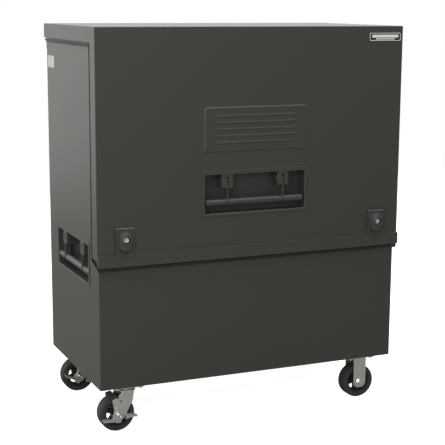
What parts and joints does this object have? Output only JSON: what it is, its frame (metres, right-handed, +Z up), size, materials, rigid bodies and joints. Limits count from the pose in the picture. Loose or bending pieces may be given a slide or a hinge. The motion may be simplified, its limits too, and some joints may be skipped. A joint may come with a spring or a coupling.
{
  "type": "rolling tool box",
  "caption": "Upright steel tool box on castors, with an L-shaped piano lid that opens its top and upper front, key locks and recessed bail handles.",
  "frame": {"origin": "centre of the footprint, on the floor under the wheels", "axes": "+Z up, +Y to the back (the hinge side), +X to the right seen from the front"},
  "size_m": [1.22, 0.698, 1.465],
  "materials": {
    "charcoal_paint": "satin powder coat",
    "badge_enamel": "gloss with a pale border",
    "black_plastic": "fine moulded texture",
    "bright_zinc": "bright plate",
    "zinc_plate": "zinc plated",
    "strut_black": "gloss black",
    "polished_rod": "polished",
    "cast_black": "painted casting",
    "black_rubber": "matt"
  },
  "bodies": {
    "chest": {"side_panel_left": "charcoal_paint", "side_panel_right": "charcoal_paint", "back_panel": "charcoal_paint", "front_panel": "charcoal_paint", "floor_panel": "charcoal_paint", "weather_lips": "charcoal_paint", "hinge_rail": "charcoal_paint", "shelf": "charcoal_paint", "hinge_leaf_body": "charcoal_paint", "left_pocket": "charcoal_paint", "right_pocket": "charcoal_paint", "side_hangers": "charcoal_paint", "hinge_pin": "zinc_plate", "strut_studs_body": "zinc_plate", "side_pivot_bolts": "charcoal_paint", "side_hanger_screws": "charcoal_paint", "swivel_plates": "zinc_plate", "fixed_frames": "zinc_plate", "fixed_axles": "zinc_plate", "castor_bolts": "zinc_plate"},
    "lid": {"lid_top": "charcoal_paint", "lid_front": "charcoal_paint", "lid_flange_left": "charcoal_paint", "lid_flange_right": "charcoal_paint", "lid_stiffeners": "charcoal_paint", "lock_rail": "charcoal_paint", "front_pocket": "charcoal_paint", "front_hangers": "charcoal_paint", "hinge_leaf_lid": "charcoal_paint", "strut_studs_lid": "charcoal_paint", "badge": "badge_enamel", "left_lock_housing": "black_plastic", "right_lock_housing": "black_plastic", "front_pivot_bolts": "charcoal_paint", "front_hanger_screws": "charcoal_paint"},
    "left_lock": {"left_lock_plug": "bright_zinc", "left_lock_cam": "zinc_plate"},
    "right_lock": {"right_lock_plug": "bright_zinc", "right_lock_cam": "zinc_plate"},
    "left_strut_rod": {"left_strut_rod": "polished_rod"},
    "left_strut_tube": {"left_strut_tube": "strut_black"},
    "right_strut_rod": {"right_strut_rod": "polished_rod"},
    "right_strut_tube": {"right_strut_tube": "strut_black"},
    "front_handle": {"front_handle": "charcoal_paint"},
    "left_handle": {"left_handle": "charcoal_paint"},
    "right_handle": {"right_handle": "charcoal_paint"},
    "front_swivel": {"front_swivel_fork": "zinc_plate", "front_swivel_axle": "zinc_plate"},
    "front_brake": {"front_brake": "zinc_plate"},
    "front_swivel_wheel": {"front_swivel_core": "cast_black", "front_swivel_tyre": "black_rubber"},
    "front_fixed_wheel": {"front_fixed_core": "cast_black", "front_fixed_tyre": "black_rubber"},
    "rear_swivel": {"rear_swivel_fork": "zinc_plate", "rear_swivel_axle": "zinc_plate"},
    "rear_brake": {"rear_brake": "zinc_plate"},
    "rear_swivel_wheel": {"rear_swivel_core": "cast_black", "rear_swivel_tyre": "black_rubber"},
    "rear_fixed_wheel": {"rear_fixed_core": "cast_black", "rear_fixed_tyre": "black_rubber"}
  },
  "joints": [
    {"name": "lid_hinge", "type": "hinge", "parent": "chest", "child": "lid", "pos_m": [0, 0.3445, 1.408], "axis": [-1, 0, 0], "range_deg": [0, 80]},
    {"name": "left_strut_swing", "type": "hinge", "parent": "chest", "child": "left_strut_rod", "pos_m": [-0.556, 0.2745, 1.348], "axis": [-1, 0, 0], "range_deg": [0, 79]},
    {"name": "left_strut_slide", "type": "slide", "parent": "left_strut_rod", "child": "left_strut_tube", "axis": [0, -0.9718, 0.236], "range_m": [0, 0.11848]},
    {"name": "left_lock_turn", "type": "hinge", "parent": "lid", "child": "left_lock", "pos_m": [-0.509, -0.316, 0.724], "axis": [0, 1, 0], "range_deg": [0, 90]},
    {"name": "right_strut_swing", "type": "hinge", "parent": "chest", "child": "right_strut_rod", "pos_m": [0.556, 0.2745, 1.348], "axis": [-1, 0, 0], "range_deg": [0, 79]},
    {"name": "right_strut_slide", "type": "slide", "parent": "right_strut_rod", "child": "right_strut_tube", "axis": [0, -0.9718, 0.236], "range_m": [0, 0.11848]},
    {"name": "right_lock_turn", "type": "hinge", "parent": "lid", "child": "right_lock", "pos_m": [0.509, -0.316, 0.724], "axis": [0, -1, 0], "range_deg": [0, 90]},
    {"name": "front_handle_swing", "type": "hinge", "parent": "lid", "child": "front_handle", "pos_m": [0, -0.303, 0.9105], "axis": [-1, 0, 0], "range_deg": [0, 90]},
    {"name": "left_handle_swing", "type": "hinge", "parent": "chest", "child": "left_handle", "pos_m": [-0.588, 0.01495, 0.658], "axis": [0, 1, 0], "range_deg": [0, 90]},
    {"name": "right_handle_swing", "type": "hinge", "parent": "chest", "child": "right_handle", "pos_m": [0.588, 0.01495, 0.658], "axis": [0, -1, 0], "range_deg": [0, 90]},
    {"name": "front_swivel_turn", "type": "hinge", "parent": "chest", "child": "front_swivel", "pos_m": [-0.488, -0.25, 0.171], "axis": [0, 0, 1], "continuous": true},
    {"name": "front_brake_rock", "type": "hinge", "parent": "front_swivel", "child": "front_brake", "pos_m": [-0.528, -0.25, 0.066], "axis": [0, -1, 0], "range_deg": [0, 12]},
    {"name": "front_swivel_wheel_spin", "type": "hinge", "parent": "front_swivel", "child": "front_swivel_wheel", "pos_m": [-0.528, -0.25, 0.066], "axis": [0, 1, 0], "continuous": true},
    {"name": "front_fixed_wheel_spin", "type": "hinge", "parent": "chest", "child": "front_fixed_wheel", "pos_m": [0.481, -0.25, 0.066], "axis": [0, 1, 0], "continuous": true},
    {"name": "rear_swivel_turn", "type": "hinge", "parent": "chest", "child": "rear_swivel", "pos_m": [-0.488, 0.2444, 0.171], "axis": [0, 0, 1], "continuous": true},
    {"name": "rear_brake_rock", "type": "hinge", "parent": "rear_swivel", "child": "rear_brake", "pos_m": [-0.528, 0.2444, 0.066], "axis": [0, -1, 0], "range_deg": [0, 12]},
    {"name": "rear_swivel_wheel_spin", "type": "hinge", "parent": "rear_swivel", "child": "rear_swivel_wheel", "pos_m": [-0.528, 0.2444, 0.066], "axis": [0, 1, 0], "continuous": true},
    {"name": "rear_fixed_wheel_spin", "type": "hinge", "parent": "chest", "child": "rear_fixed_wheel", "pos_m": [0.481, 0.2444, 0.066], "axis": [0, 1, 0], "continuous": true}
  ],
  "couplings": [
    {"joint": "left_strut_swing", "follows": "lid_hinge", "ratio": 0.98685},
    {"joint": "left_strut_slide", "follows": "lid_hinge", "m_per_rad": 0.084711},
    {"joint": "right_strut_swing", "follows": "lid_hinge", "ratio": 0.98685},
    {"joint": "right_strut_slide", "follows": "lid_hinge", "m_per_rad": 0.084711}
  ]
}
